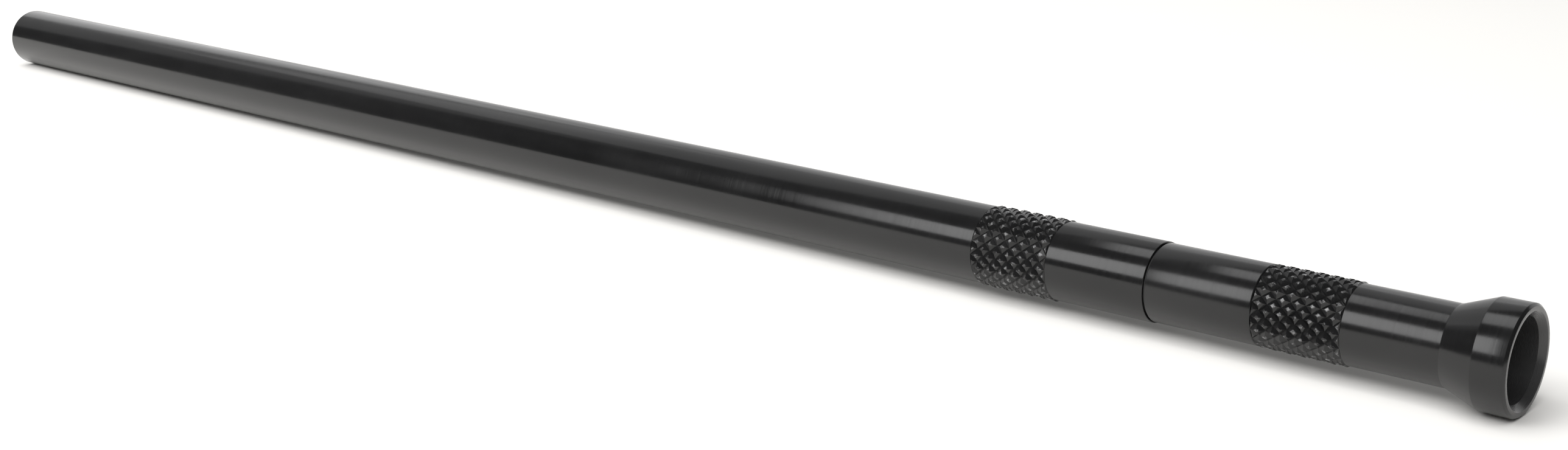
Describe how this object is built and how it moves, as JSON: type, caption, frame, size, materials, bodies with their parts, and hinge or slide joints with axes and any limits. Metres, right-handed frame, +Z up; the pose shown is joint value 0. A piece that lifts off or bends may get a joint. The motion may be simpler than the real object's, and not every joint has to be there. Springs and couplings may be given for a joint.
{
  "type": "spring bar tool",
  "caption": "Slim black tube tool with two knurled grips and a turning bell head that feeds a fork tip out of its open mouth.",
  "frame": {"origin": "centre of the bell's rim, on the tool's axis", "axes": "+X along the axis out of the bell's mouth, handle towards -X, +Z up with the tool lying level"},
  "size_m": [0.174, 0.0076, 0.0076],
  "materials": {
    "black_metal": "glossy black anodised",
    "tool_steel": "ground bright steel",
    "brass": "turned brass",
    "bronze": "sintered bronze, oiled",
    "seal_rubber": "matt black rubber",
    "black_plastic": "black bearing plastic",
    "white_plastic": "natural bearing plastic"
  },
  "bodies": {
    "handle": {"barrel_tube": "black_metal", "journal_bush": "bronze", "thrust_washer": "tool_steel", "seam_washer": "black_plastic", "hex_guide": "bronze", "magazine_stop": "white_plastic", "magazine_spring": "tool_steel", "tip_magazine": "white_plastic", "spare_pin_tip": "tool_steel", "spare_fine_fork": "tool_steel", "end_plug": "tool_steel", "plug_ring": "seal_rubber"},
    "head": {"bell_head": "black_metal", "nose_bush": "bronze", "drive_sleeve": "brass", "friction_ring": "seal_rubber"},
    "feed": {"tip_carrier": "tool_steel", "fork_tip": "tool_steel", "stop_collar": "brass", "collar_pin": "tool_steel"}
  },
  "joints": [
    {"name": "head_turn", "type": "hinge", "parent": "handle", "child": "head", "pos_m": [-0.0266, 0, 0], "axis": [-1, 0, 0], "range_deg": [0, 900.1]},
    {"name": "tip_feed", "type": "slide", "parent": "handle", "child": "feed", "axis": [1, 0, 0], "range_m": [0, 0.008]}
  ],
  "couplings": [
    {"joint": "head_turn", "follows": "tip_feed", "rad_per_m": 1963.5}
  ]
}
